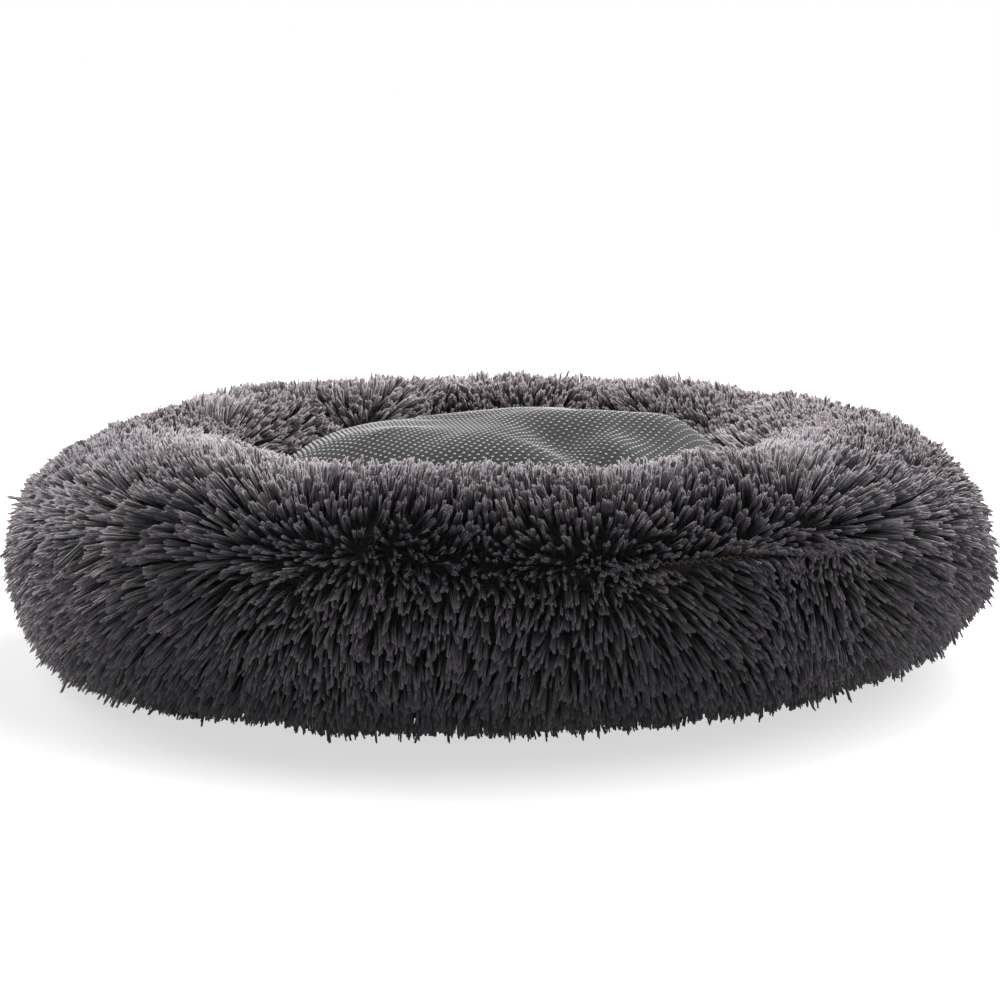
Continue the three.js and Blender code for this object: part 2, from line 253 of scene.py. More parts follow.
def ring_piece(name, runs, material):
    """A closed section at every azimuth, turned round the bed's axis and joined face to face."""
    section = joined(runs)
    rows, columns = section.shape[:2]
    points = turned(section, AROUND[:, None]).reshape(-1, 3)
    return make_piece(name, points, [grid_faces(rows, columns, True)], material)


def disc_piece(name, runs, material):
    """A section that starts and ends on the bed's axis, turned round it. Both ends become one
    point."""
    section = joined(runs)
    rows, columns = section.shape[0], section.shape[1] - 2
    grid = turned(section, AROUND[:, None])
    points = np.concatenate([grid[:, 1:-1].reshape(-1, 3), grid[:1, 0], grid[:1, -1]])
    i = np.arange(rows)
    following = (i + 1) % rows
    first = np.stack([np.full(rows, rows * columns), following * columns, i * columns], axis=-1)
    last = np.stack(
        [np.full(rows, rows * columns + 1), (i + 1) * columns - 1, (following + 1) * columns - 1],
        axis=-1,
    )
    faces = [grid_faces(rows, columns, False), first, last]
    return make_piece(name, points, faces, material)


def linear(hex_colour):
    """Turns an sRGB hex colour to linear light by the standard's two-part curve."""
    channels = np.array([int(hex_colour[i : i + 2], 16) for i in (1, 3, 5)]) / 255.0
    light = np.where(channels <= 0.04045, channels / 12.92, ((channels + 0.055) / 1.055) ** 2.4)
    return (*light.tolist(), 1.0)


def add_node(tree, kind, settings=None, inputs=None):
    """Adds a node with its settings. An input is a plain value, or a pair of node and output to
    link."""
    node = tree.nodes.new(kind)
    for key, value in (settings or {}).items():
        setattr(node, key, value)
    for key, value in (inputs or {}).items():
        if isinstance(value, tuple) and len(value) == 2 and isinstance(value[0], bpy.types.Node):
            tree.links.new(value[0].outputs[value[1]], node.inputs[key])
        else:
            node.inputs[key].default_value = value
    return node


def new_material(name):
    """An empty node material, and the tree to build in."""
    material = bpy.data.materials.new(name)
    material.use_nodes = True
    material.node_tree.nodes.clear()
    return material, material.node_tree


def add_place(tree):
    """The place in the piece's own space."""
    return add_node(tree, "ShaderNodeTexCoord"), "Object"


def add_maths(tree, operation, *values):
    """One step of arithmetic."""
    return add_node(tree, "ShaderNodeMath", {"operation": operation}, dict(enumerate(values)))


def add_noise(tree, scale, detail=2.0):
    """A noise texture in the piece's own space."""
    inputs = {"Vector": add_place(tree), "Scale": scale, "Detail": detail}
    return add_node(tree, "ShaderNodeTexNoise", {}, inputs)


def add_wave(tree, direction, scale, distortion, detail):
    """Bands of waves in the piece's own space."""
    inputs = {"Vector": add_place(tree), "Scale": scale, "Distortion": distortion}
    settings = {"bands_direction": direction}
    return add_node(tree, "ShaderNodeTexWave", settings, {**inputs, "Detail": detail})


def add_ramp(tree, factor, first, last, between=(), reach=(0.0, 1.0)):
    """A ramp from one colour to another over a reach of its factor, by way of those between."""
    ramp = add_node(tree, "ShaderNodeValToRGB", {}, {"Fac": factor})
    stops = ramp.color_ramp.elements
    for stop, position, colour in zip(list(stops), reach, (first, last)):
        stop.position = position
        stop.color = linear(colour)
    for position, colour in between:
        stops.new(position).color = linear(colour)
    return ramp


def finish_material(tree, tone, inputs, relief=None):
    """Puts one principled shader on the material's surface, in this tone and with these inputs. A
    relief is what it follows, how high it is in metres, and its strength."""
    if relief:
        relief = dict(zip(("Height", "Distance", "Strength"), relief))
        inputs = {"Normal": (add_node(tree, "ShaderNodeBump", {}, relief), "Normal"), **inputs}
    surface = add_node(tree, "ShaderNodeBsdfPrincipled", {}, {"Base Color": tone, **inputs})
    add_node(tree, "ShaderNodeOutputMaterial", {}, {"Surface": (surface, "BSDF")})


# Polyester fibre fill, carded and blown: a matt off-white fleece in soft lumps.
fibre, tree = new_material("polyester_fibre_fill_blown")
lumps = add_noise(tree, 60.0, 5.0)
strands = add_noise(tree, 900.0, 3.0)
tone = add_ramp(tree, (lumps, "Fac"), "#d6d2c9", "#f3f1ec")
look = {"Roughness": 0.95, "Sheen Weight": 0.2}
finish_material(tree, (tone, "Color"), look, ((strands, "Fac"), 0.001, 0.6))

outer_seam = seam_at(AROUND, OUTER_SEAM)
inner_seam = seam_at(AROUND, INNER_SEAM)
# the fibre's face lies under the cover's ground, in soft lumps: 19 round the ring
LUMP_STEPS = 20
lump_depth = 1.2 + 0.9 * np.cos(19 * AROUND + 0.7)[:, None] * np.cos(np.linspace(0, 9, LUMP_STEPS))
fill_depth = GROUND_BACK + FIT_GAP + lump_depth
upper_run = section_run(
    OUTER_SEAM + LINING_INSET, INNER_SEAM - LINING_INSET, LUMP_STEPS, fill_depth
)
lower_run = section_run(
    INNER_SEAM + LINING_INSET - 2 * np.pi, OUTER_SEAM - LINING_INSET, LUMP_STEPS, fill_depth
)
inner_channel = channel_around(
    inner_seam, NEST_FUR_FACE - GROUND_THICKNESS, BASE_FUR_FACE + GROUND_THICKNESS
)
outer_channel = channel_around(
    outer_seam, -FIT_GAP / 2 - GROUND_THICKNESS, FIT_GAP / 2 + GROUND_THICKNESS
)
bolster_fill = ring_piece(
    "bolster_fibre",
    [upper_run, inner_channel, lower_run, outer_channel[:, ::-1]],
    fibre,
)
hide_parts("bolster_fill")

# ---- Pad filling -----------------------------------------------------
# The same fibre between the base cloth and the nest floor. It is domed on the base side, sags on
# the nest side and thins to a blunt edge at the inner seam.
CROWN_HEIGHT = 168.0
DOME_FULLNESS = 3.2
CLOTH_RADIUS = 150.0
NEST_DEPTH = 66.0
PAD_INSET = 1.5
# the broad folds: middle and reach as shares of the cloth's radius, and share of the rise
WRINKLE_RISE = 9.0
WRINKLES = (
    (0.41, -0.32, 0.28, -1.0),
    (0.64, 0.04, 0.27, 0.6),
    (0.12, 0.2, 0.3, 0.35),
    (-0.27, 0.05, 0.33, -0.35),
    (-0.64, -0.23, 0.3, 0.35),
)
# the narrower creases in them, four large and six small: middle, turn from +X, length, width and
# rise
CREASES = (
    (42.0, -84.0, 1.85, 60.0, 17.0, -9.5),
    (76.0, -66.0, 1.7, 52.0, 16.0, 6.0),
    (130.0, 15.0, 1.5, 60.0, 26.0, 11.0),
    (-55.0, 30.0, 1.57, 110.0, 65.0, -5.5),
    (20.0, -78.0, 2.3, 30.0, 10.0, -1.6),
    (-46.0, -70.0, 1.2, 38.0, 12.0, -2.0),
    (-80.0, -40.0, 0.9, 34.0, 11.0, 1.5),
    (10.0, 40.0, 0.3, 50.0, 18.0, -1.2),
    (70.0, 60.0, 0.9, 34.0, 12.0, -2.2),
    (-60.0, 66.0, 2.4, 36.0, 12.0, -2.0),
)


def wrinkle_at(azimuth, radius, share):
    """Height that the folds add to the dome: a hump or hollow about each fold's middle, and a long
    one on each crease, faded out at the rim by one less the fourth power of the share of the way
    out."""
    x, y = radius * np.cos(azimuth), radius * np.sin(azimuth)
    height = sum(
        WRINKLE_RISE
        * rise
        * hump(np.hypot(x / CLOTH_RADIUS - at_x, y / CLOTH_RADIUS - at_y), reach)
        for at_x, at_y, reach, rise in WRINKLES
    )
    for at_x, at_y, turn, length, width, rise in CREASES:
        along = (x - at_x) * np.cos(turn) + (y - at_y) * np.sin(turn)
        beside = (y - at_y) * np.cos(turn) - (x - at_x) * np.sin(turn)
        height = height + rise * hump(along, length) * hump(beside, width)
    return height * (1 - share**4)


def dome_rim(azimuth, under):
    """Where the dome's edge lies on the cut end of the pile, this far under its upper face."""
    across = seam_at(azimuth, INNER_SEAM)[2]
    return section_place(azimuth, BASE_RIM, 0.0) - across * (FIT_GAP + under)


def dome_place(azimuth, share, under):
    """Radius and height on the dome: from the crown down to the rim by a power of the share of the
    way out, with the folds on top."""
    rim = dome_rim(azimuth, under)
    crown = CROWN_HEIGHT - under
    radius = rim[..., 0] * share
    height = crown + (rim[..., 1] - crown) * share**DOME_FULLNESS
    return np.stack([radius, height + wrinkle_at(azimuth, radius, share)], axis=-1)


def dome_run(count, under):
    """Places from the crown to the rim at every azimuth."""
    azimuth, share = np.broadcast_arrays(AROUND[:, None], np.linspace(0, 1, count)[None])
    return dome_place(azimuth, share, under)


def sag_run(rim, middle_height, count):
    """A sagging face from the middle out to a rim, by the square of the share of the way out."""
    share = np.linspace(0, 1, count)[None]
    height = middle_height + (rim[:, 1:] - middle_height) * share**2
    return np.stack([rim[:, :1] * share, height], axis=-1)


pad_top = dome_run(26, BASE_CLOTH_THICKNESS + FIT_GAP)
pad_edge = place_at(inner_seam, -PAD_INSET, 0.0)
pad_bottom = sag_run(
    place_at(inner_seam, -PAD_INSET, NEST_FLOOR_FACE)[:, 0],
    NEST_DEPTH + PILE_DEPTH + GROUND_THICKNESS + FIT_GAP,
    24,
)
pad_fill = disc_piece(
    "pad_fibre", [pad_top, pad_edge, pad_bottom[:, ::-1]], fibre
)
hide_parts("pad_fill")

# ---- Nest cover ring -------------------------------------------------
# Long-pile plush: a dark knitted ground with tufts of soft polyester pile about 25 mm long. This
# ring runs from the outer seam round the underside and up inside the nest. The floor crushes its
# pile.
SLIT_START = np.radians(-76.0)
SLIT_END = np.radians(-50.0)
SLIT_BLEND = np.radians(7.0)
SLIT_PARTED = np.radians(-70.0)
PARTED_REACH = np.radians(4.5)
RIDGE_WIDTH = np.radians(3.6)
RIDGE_HEIGHT = 1.0
SLIT_RIDGE_HEIGHT = 11.6
# the tufts start beside the outer seam, and further off along the slit
SEAM_EDGE = np.radians(0.3)
SLIT_EDGE = np.radians(0.6)

# Knitted polyester ground, warp knit: near-black and matt, with fine ribs between the tufts.
knit, tree = new_material("polyester_knit_ground")
ribs = add_wave(tree, "Z", 150.0, 1.5, 2.0)
tone = add_ramp(tree, (ribs, "Fac"), "#1f1e21", "#2c2a2e")
finish_material(tree, (tone, "Color"), {"Roughness": 0.9}, ((ribs, "Fac"), 0.0004, 0.7))

# Polyester pile, heat-set and sheared: dark grey for most of its length and mauve-grey at the
# blunt tip. The map runs from root to tip in one direction and from dark to pale tufts in the
# other, which carries the tufts' random tone and also painted light and shade by where they stand.
pile, tree = new_material("polyester_plush_pile")
place = add_node(tree, "ShaderNodeUVMap", {"uv_map": "OFBake"})
split = add_node(tree, "ShaderNodeSeparateXYZ", {}, {"Vector": (place, "UV")})
length_tone = add_ramp(
    tree,
    (split, "Y"),
    "#47484d",
    "#ada1a8",
    ((0.35, "#46474c"), (0.62, "#4c4b51"), (0.8, "#605d65"), (0.92, "#827a81")),
)
# the tufts' tone: random, and also painted light and shade where their shades are set by place
tuft_tone = add_ramp(tree, (split, "X"), "#a4a9b6", "#fffcfd")
tone = add_node(
    tree,
    "ShaderNodeMix",
    {"data_type": "RGBA", "blend_type": "MULTIPLY"},
    {0: 1.0, 6: (length_tone, "Color"), 7: (tuft_tone, "Color")},
)
look = {
    "Roughness": 0.55,
    "Sheen Weight": 0.2,
    "Sheen Roughness": 0.35,
    "Subsurface Weight": 0.9,
    "Subsurface Scale": 0.004,
    "Subsurface Radius": (1.0, 0.85, 0.87),
}
finish_material(tree, (tone, 2), look)


def off_slit(azimuth):
    """The turn from this azimuth to the nearer end of the filling slit, and 0 inside the slit."""
    nearer = np.maximum(turn_between(azimuth, SLIT_START), turn_between(SLIT_END, azimuth))
    return np.maximum(nearer, 0)


def parted_at(azimuth):
    """How far the pile lies apart along the slit, as a smooth hump near its left end."""
    return hump(turn_between(SLIT_PARTED, azimuth), PARTED_REACH)


def cover_tufts(side, last, spacing, seed, slit_seed):
    """Azimuths and angles of a cover's tufts, as dense as spacing says, from beside the outer seam
    to the last angle. More of them stand on the steep side of the sewn ridge along the slit, apart
    from where the pile is parted."""
    azimuth, angle = ring_tufts(OUTER_SEAM + side * SEAM_EDGE, last, spacing, seed)
    kept = (off_slit(azimuth) > 0) | (side * (angle - OUTER_SEAM) > SLIT_EDGE)
    first, last = OUTER_SEAM + side * np.radians((0.4, 6))
    more, tilted = ring_tufts(first, last, ((0, 360), (2.6, 2.6)), slit_seed)
    near = (off_slit(more) < np.radians(4)) & (parted_at(more) < 0.5)
    return np.append(azimuth[kept], more[near]), np.append(angle[kept], tilted[near])


def ridge_at(azimuth):
    """How far the sewn edges stand out of the grounds along the outer seam: little, but well up
    towards the tips along the filling slit, where a smooth hump at either end takes the height
    down."""
    return RIDGE_HEIGHT + SLIT_RIDGE_HEIGHT * hump(off_slit(azimuth), SLIT_BLEND)


def ground_depth(azimuth, angle):
    """How deep under the tips the ground's face lies: as deep as the pile is long, less the seam's
    ridge, which falls away from the seam as a smooth hump."""
    return PILE_DEPTH - ridge_at(azimuth) * hump(angle - OUTER_SEAM, RIDGE_WIDTH)


def cover_ground(side, face):
    """Runs of a cover's knitted ground: its edge on the outer seam's ridge, its outer face at the
    pile's root from seam to seam, its edges turned in at both seams, and its inner face."""
    ridge = ridge_at(AROUND)[:, None] + GROUND_THICKNESS
    inner_angle = INNER_SEAM if side > 0 else INNER_SEAM - 2 * np.pi
    thickness = side * GROUND_THICKNESS
    outer_face = side * FIT_GAP / 2
    inset = side * LINING_INSET
    first, last = OUTER_SEAM + side * np.radians(1.5), inner_angle - 0.25 * inset
    angle = first + (last - first) * np.linspace(0, 1, 36)[None] ** 1.6
    return [
        place_at(outer_seam, -ridge, outer_face),
        place_at(outer_seam, -ridge + 0.2, outer_face + 0.8 * thickness),
        section_place(AROUND[:, None], angle, ground_depth(AROUND[:, None], angle)),
        turned_edge(inner_seam, 0, SEAM_ALLOWANCE, face, face + thickness),
        section_run(inner_angle - inset, OUTER_SEAM + inset, 18, GROUND_BACK),
        place_at(outer_seam, 0, outer_face + thickness),
        place_at(outer_seam, SEAM_ALLOWANCE, outer_face + thickness),
        place_at(outer_seam, SEAM_ALLOWANCE, outer_face),
    ]


def ring_point(azimuth, angle):
    """A point on the ground of either cover, where the pile is rooted."""
    return turned(section_place(azimuth, angle, ground_depth(azimuth, angle)), azimuth)


def drift(azimuth, angle, most_waves, seed):
    """A smooth random field about 0: ten waves that run slantwise round the ring, with random
    phases."""
    rng = np.random.default_rng(seed)
    total = np.zeros(np.broadcast(azimuth, angle).shape)
    for _ in range(10):
        around = rng.integers(3, most_waves)
        slant = rng.uniform(-0.3, 0.3) * most_waves
        total += np.cos(around * azimuth + slant * angle + rng.uniform(0, 2 * np.pi))
    return total / np.sqrt(5.0)


def ring_tufts(first, last, spacing, seed):
    """Azimuths and angles of the tufts: rows along the section, each as far from the next as
    spacing says in its pairs of degrees and mm, with staggered tufts that far apart along each
    row, all moved a little at random."""
    rng = np.random.default_rng(seed)
    fine = np.linspace(first, last, 600)
    places = section_place(0.4, fine, PILE_DEPTH)
    steps = np.linalg.norm(np.diff(places, axis=0), axis=1)
    gaps = np.interp(np.degrees(fine[:-1]), *spacing)
    walked = np.concatenate([[0], np.cumsum(steps / (ROW_STEP * gaps))])
    rows = np.arange(0.5, walked[-1], 1.0)
    row_angle = np.interp(rows, walked, fine)
    row_radius = np.interp(rows, walked, places[:, 0])
    gaps = np.interp(np.degrees(row_angle), *spacing)
    counts = np.round(2 * np.pi * row_radius / gaps).astype(int)
    row = np.repeat(np.arange(len(rows)), counts)
    along = np.arange(counts.sum()) - np.repeat(np.cumsum(counts) - counts, counts)
    share = (along + 0.5 * (row % 2) + rng.uniform(-0.38, 0.38, len(row))) / counts[row]
    angle = np.interp(row + 0.5 + rng.uniform(-0.42, 0.42, len(row)), walked, fine)
    return share * 2 * np.pi, angle


# a tuft's strands stand in a spiral, this far round from one to the next, and off the floor
SPIRAL_TURN = 2.4
STRAND_FLOOR = 0.2


def lay_pile(name, tufts, strands, rings, tuft_radius, strand_radius, seed):
    """Tufts of pile, from their roots, ways, droops, lengths and shades. A tuft's strands start
    close together at its root and splay along its way, and the outer ones end sooner, so that its
    end is blunt. A strand is a three-sided tapered tube whose centre line is a run along its way,
    plus its droop by the square of the share of its length, plus a small bow that is nothing at
    both ends. A shade over 1.1 paints light into the tuft: its tip's colours move towards its
    root, so that the tuft is paler."""
    roots, ways, droops, lengths, shades = tufts
    rng = np.random.default_rng(seed)
    tufts = len(roots)
    side = unit(np.cross(ways, (0.13, 0.27, 0.95)))
    other = np.cross(ways, side)
    ring = np.sqrt((np.arange(strands) + rng.uniform(0.2, 0.8, (tufts, strands))) / strands)
    turn = np.arange(strands) * SPIRAL_TURN + rng.uniform(0, 2 * np.pi, (tufts, 1))
    turn = turn + rng.normal(0, 0.3, (tufts, strands))
    cosine, sine = np.cos(turn)[..., None], np.sin(turn)[..., None]
    off = tuft_radius * ring[..., None] * (cosine * side[:, None] + sine * other[:, None])
    reach = lengths[:, None] * (1.01 - 0.06 * ring**2 + rng.normal(0, 0.022, (tufts, strands)))
    share = np.linspace(0, 1, rings)
    bend = rng.normal(0, 0.2, (tufts, 1, 3)) + rng.normal(0, 0.025, (tufts, strands, 3))
    fray = rng.normal(0, 0.013, (tufts, strands, 1, 3)) * share[:, None]
    path = share[:, None] * ways[:, None] + share[:, None] ** 2 * droops[:, None]
    run = reach[..., None, None] * (path[:, None] + fray)
    spread = (0.85 + 0.1 * share)[:, None] * off[:, :, None]
    curve = (share**2 - share)[:, None] * bend[:, :, None] * reach[..., None, None]
    centre = roots[:, None, None] + run + spread + curve
    taper = np.interp(share, (0, 0.5, 1), (0.8, 1.0, 0.85))
    thick = strand_radius * taper * rng.uniform(0.8, 1.25, (tufts, strands, 1))
    corner = rng.uniform(0, 2 * np.pi, (tufts, strands, 1, 1)) + np.arange(3) * 2 * np.pi / 3
    cosine, sine = np.cos(corner)[..., None], np.sin(corner)[..., None]
    radial = cosine * side[:, None, None, None] + sine * other[:, None, None, None]
    points = centre[..., None, :] + thick[..., None, None] * radial
    points[..., 2] = np.maximum(points[..., 2], STRAND_FLOOR)
    j = np.arange(3)
    j2 = (j + 1) % 3
    quad = np.stack([j, j2, 3 + j2, 3 + j], axis=-1)
    quads = np.concatenate([quad + k * 3 for k in range(rings - 1)])
    ends = [[2, 1, 0], rings * 3 - 3 + j]
    pattern = np.concatenate([quads[:, [0, 1, 2]], quads[:, [0, 2, 3]], ends])
    total = tufts * strands
    faces = (np.arange(total)[:, None, None] * rings * 3 + pattern).reshape(-1, 3)
    steps = np.repeat(share[:-1], 3)
    gain = share[1] - share[0]
    column = np.tile(j, rings - 1) / 3
    low_left, low_right, high_left, high_right = (
        np.stack([column + right, steps + up], -1) for up in (0, gain) for right in (0, 1 / 3)
    )
    flat = np.concatenate(
        [
            np.stack([low_left, low_right, high_right], 1),
            np.stack([low_left, high_right, high_left], 1),
            [[[0, 0.0], [1, 0.0], [0, 0.03]], [[0, 0.97], [1, 0.97], [0, 1.0]]],
        ]
    )
    shade = np.clip(shades[:, None] + rng.normal(0, 0.1, (tufts, strands)), 0.0, 1.0)
    map_u = 0.01 + 0.95 * shade.reshape(-1, 1, 1) + 0.02 * flat[..., 0]
    # a shade over 1.1 is painted light: the tuft's pale tip colours reach down towards its root
    painted_paling = np.repeat(np.clip(shades - 1.1, 0.0, 0.6), strands).reshape(-1, 1, 1)
    map_v = 0.005 + 0.99 * np.minimum(flat[..., 1] + painted_paling, 1.0)
    uv = np.stack([map_u, map_v], axis=-1)
    return make_piece(name, points.reshape(-1, 3), [faces], pile, uv=uv)


def surface_share(points):
    """How far out of the bolster a point lies: 1 on the face of the pile and less inside, from its
    offsets in radius and height over the section's half width and half height there."""
    x, y = points[:, 0] - BED_AXIS[0], points[:, 1] - BED_AXIS[1]
    azimuth = np.arctan2(y, x)
    out = (np.hypot(x, y) - BOLSTER_RADIUS) / (HALF_WIDTH + swell_at(azimuth))
    up = points[:, 2] - WIDEST_HEIGHT
    return np.hypot(out, up / np.where(up > 0, upper_reach(azimuth), lower_reach(azimuth, out)))


# where the pile parts and lies away to both sides, as azimuth, strength and reach in degrees
PARTINGS = ((-114, 0.7, 12), (-73, 0.4, 8), (-49, 1.4, 7), (38, 0.8, 9), (158, 0.8, 9))
# where it is swept along the ring, as azimuth, lean and reach in degrees
SWEEPS = ((-146, -1.0, 26), (-38, 0.45, 18))
# where it stands out more or less: azimuth and angle, share of the section, and reaches in degrees
FULLER = (
    (-161, -38, 0.12, 26, 22),
    (-8, -30, -0.04, 22, 45),
    (-176, 40, 0.03, 16, 20),
    (148, 95, 0.085, 20, 35),
    (54, 95, 0.07, 9, 35),
)
# the pile's face is sheared just inside the section's, and a tuft keeps within these shares of its
# own length; a few strays stand out of it
SHEARED_AT = 0.975
SHEAR_LIMITS = (0.42, 1.35)
STRAYS = 0.05
STRAY_LENGTH = 1.18
# a tuft rises out of its ground by this much of its way at least, and its end stays off the floor
LEAST_RISE = 0.22
TUFT_FLOOR = 1.5
DROOP_IN_LENGTH = 0.7
CLUMP_SIZE = 8.0


def clump_of(azimuth, angle, rng):
    """The number of the clump that each tuft leans into: cells of CLUMP_SIZE in staggered rows
    round the ring, with ragged borders. Along the section, 90 mm of it count as a turn of one
    radian."""
    band = np.floor(angle * 90 / CLUMP_SIZE + rng.normal(0, 0.22, len(angle)))
    row_radius = BOLSTER_RADIUS + 80 * np.cos(band * CLUMP_SIZE / 90)
    cells = np.round(2 * np.pi * row_radius / CLUMP_SIZE)
    ragged = 0.5 * (band % 2) + rng.normal(0, 0.22, len(angle))
    cell = np.floor(azimuth / (2 * np.pi) * cells + ragged)
    return np.unique(band * 4096 + cell, return_inverse=True)[1]


def sheared(lengths, root, reach, azimuth, angle, rng, seed):
    """The tufts' lengths once the pile is sheared: each ends where its face is, which drifts a
    little, is fuller or thinner in places, higher at the rim of the cloth and lower where the slit
    is parted."""
    tip = surface_share(root + lengths[:, None] * reach)
    start = surface_share(root)
    face = SHEARED_AT + rng.normal(0, 0.018, len(root)) + 0.01 * drift(azimuth, angle, 40, seed)
    for at, up, more, turn, width in FULLER:
        beside = hump(turn_between(np.radians(at), azimuth), np.radians(turn))
        face += more * beside * hump(angle - np.radians(up), np.radians(width))
    at_rim = hump(angle - BASE_RIM, np.radians(9))
    at_slit = parted_at(azimuth) * hump(angle - OUTER_SEAM, np.radians(8))
    face += 0.12 * at_rim - 0.03 * at_slit
    lengths = lengths * np.clip((face - start) / np.maximum(tip - start, 0.02), *SHEAR_LIMITS)
    return lengths * np.where(rng.random(len(root)) < STRAYS, STRAY_LENGTH, 1.0)


def ring_pile(name, tufts, gather, strands, rings, radii, seed, parts=6):
    """Pile all round a cover, in equal sectors, from the tufts' azimuths, angles, ways, hangs,
    lengths and shades. Each points the way that the section gives at its angle, turned by a smooth
    drift and a little at random, away from the partings and along the sweeps, and its end hangs by
    its share. It is sheared, and the tips of a clump's tufts gather towards their middle."""
    azimuth, angle, way_angle, hang, lengths, shades = tufts
    rng = np.random.default_rng(seed)
    step = 1e-3
    root = ring_point(azimuth, angle)
    along = ring_point(azimuth, angle + step) - root
    around = ring_point(azimuth + step, angle) - root
    normal = unit(np.cross(around, along))
    level = np.zeros_like(azimuth)
    outwards = np.stack([np.cos(azimuth), np.sin(azimuth), level], axis=-1)
    sideways = np.stack([-np.sin(azimuth), np.cos(azimuth), level], axis=-1)
    tilt = way_angle + 0.14 * drift(azimuth, angle, 26, seed + 1) + rng.normal(0, 0.15, len(root))
    fans = 0.16 + 0.2 * np.clip((angle - np.radians(80)) / np.radians(30), 0, 1)
    lean = fans * drift(azimuth, angle, 18, seed + 2) + rng.normal(0, 0.16, len(root))
    for at, share, reach in PARTINGS:
        off = turn_between(np.radians(at), azimuth) / np.radians(reach)
        lean += share * off * hump(off, 1.0) * np.clip(1.6 * np.sin(angle) + 1.2, 0, 1)
    for at, share, reach in SWEEPS:
        swept = hump(turn_between(np.radians(at), azimuth), np.radians(reach))
        lean += share * swept * np.clip(1.8 - 1.5 * np.sin(angle), 0, 1) * (np.sin(angle) > -0.8)
    way = np.cos(tilt)[:, None] * outwards + lean[:, None] * sideways
    way[:, 2] += np.sin(tilt)
    way = unit(way)
    rise = np.sum(way * normal, axis=1, keepdims=True)
    way = unit(way + np.maximum(LEAST_RISE - rise, 0) * normal)
    droop = hang[:, None] * np.array([0.0, 0.0, -1.0])
    scale = 1 / np.linalg.norm(way + DROOP_IN_LENGTH * droop, axis=1, keepdims=True)
    way, droop = way * scale, droop * scale
    lengths = sheared(lengths, root, way + droop, azimuth, angle, rng, seed + 3)
    # the clumps
    clump = clump_of(azimuth, angle, rng)
    tips = root + lengths[:, None] * (way + droop)
    sums = np.stack([np.bincount(clump, tips[:, k]) for k in range(3)], axis=-1)
    middle = sums / np.bincount(clump)[:, None]
    way += gather[:, None] * (middle[clump] - tips) / lengths[:, None]
    lengths = lengths * (1 + 0.3 * gather * rng.normal(0, 0.2, clump.max() + 1)[clump])
    # the ends stay off the floor: less droop, and a flatter way
    too_low = np.minimum(TUFT_FLOOR - root[:, 2] - lengths * way[:, 2], 0) / lengths
    droop[:, 2] = np.maximum(droop[:, 2], too_low)
    lowest = -np.clip((root[:, 2] - TUFT_FLOOR) / lengths, 0.05, 1.0)
    flat = np.sqrt((1 - lowest**2) / np.maximum(1 - way[:, 2] ** 2, 1e-6))
    low = way[:, 2] < lowest
    way[low, :2] *= flat[low, None]
    way[low, 2] = lowest[low]
    order = np.argsort(azimuth % (2 * np.pi))
    return [
        lay_pile(
            f"{name}_{k + 1}",
            [values[chosen] for values in (root, way, droop, lengths, shades)],
            strands,
            rings,
            *radii,
            seed + 10 + k,
        )
        for k, chosen in enumerate(np.array_split(order, parts))
    ]


nest_ground_piece = ring_piece(
    "nest_ring_ground", cover_ground(-1, NEST_FUR_FACE), knit
)
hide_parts("nest_fur_ring")

azimuth, angle = cover_tufts(
    -1, NEST_RIM, ((-182, -120, -100, -75, -60, 32), (7.6, 7.6, 8.0, 6.2, 4.4, 4.2)), 11, 16
)
degrees = np.degrees(angle)
way = np.interp(
    degrees,
    (-182, -150, -125, -112, -95, -75, -60, -45, -20, 0, 15, 24, 31),
    (-165, -150, -128, -112, -98, -75, -80, -72, -46, -24, -6, 6, 20),
)
way -= 18 * parted_at(azimuth) * hump(angle - OUTER_SEAM, np.radians(6))
hang = np.interp(degrees, (-75, -45, 0, 31), (0.0, 0.25, 0.4, 0.35))
lengths = np.interp(degrees, (-182, -110, -95, -70, -50, 10, 31), (22, 22, 18, 20, 26, 29, 27))
# painted shade: the tufts are set darker and cooler the lower they stand on the ring's outer side
shades = np.interp(degrees, (-70, -30, 30), (0.1, 0.22, 0.4))
rng = np.random.default_rng(12)
lengths *= 1 + 0.06 * drift(azimuth, angle, 30, 13) + rng.normal(0, 0.07, len(angle))
shades += 0.12 * drift(azimuth, angle, 24, 14) + rng.normal(0, 0.12, len(angle))
nest_pile_pieces = ring_pile(
    "nest_ring_pile",
    (azimuth, angle, np.radians(way), hang, lengths, shades),
    gather=np.interp(degrees, (-20, 30), (0.0, 0.4)),
    strands=3,
    rings=3,
    radii=(0.75, 0.68),
    seed=20,
)

# ---- Nest floor ------------------------------------------------------
# A disc of the same plush that the animal lies on, sewn in at the inner seam. Upside down as the
# bed lies, its pile hangs into the nest.
nest_middle = NEST_DEPTH + PILE_DEPTH
seam_outer = place_at(inner_seam, 0, NEST_FLOOR_FACE)
seam_inner = place_at(inner_seam, 0, NEST_FLOOR_FACE - GROUND_THICKNESS)
nest_floor_ground = disc_piece(
    "nest_floor_ground",
    [
        sag_run(seam_outer[:, 0], nest_middle + GROUND_THICKNESS, 22),
        place_at(inner_seam, SEAM_ALLOWANCE, NEST_FLOOR_FACE),
        place_at(inner_seam, SEAM_ALLOWANCE, NEST_FLOOR_FACE - GROUND_THICKNESS),
        sag_run(seam_inner[:, 0], nest_middle, 22)[:, ::-1],
    ],
    knit,
)
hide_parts("nest_floor")

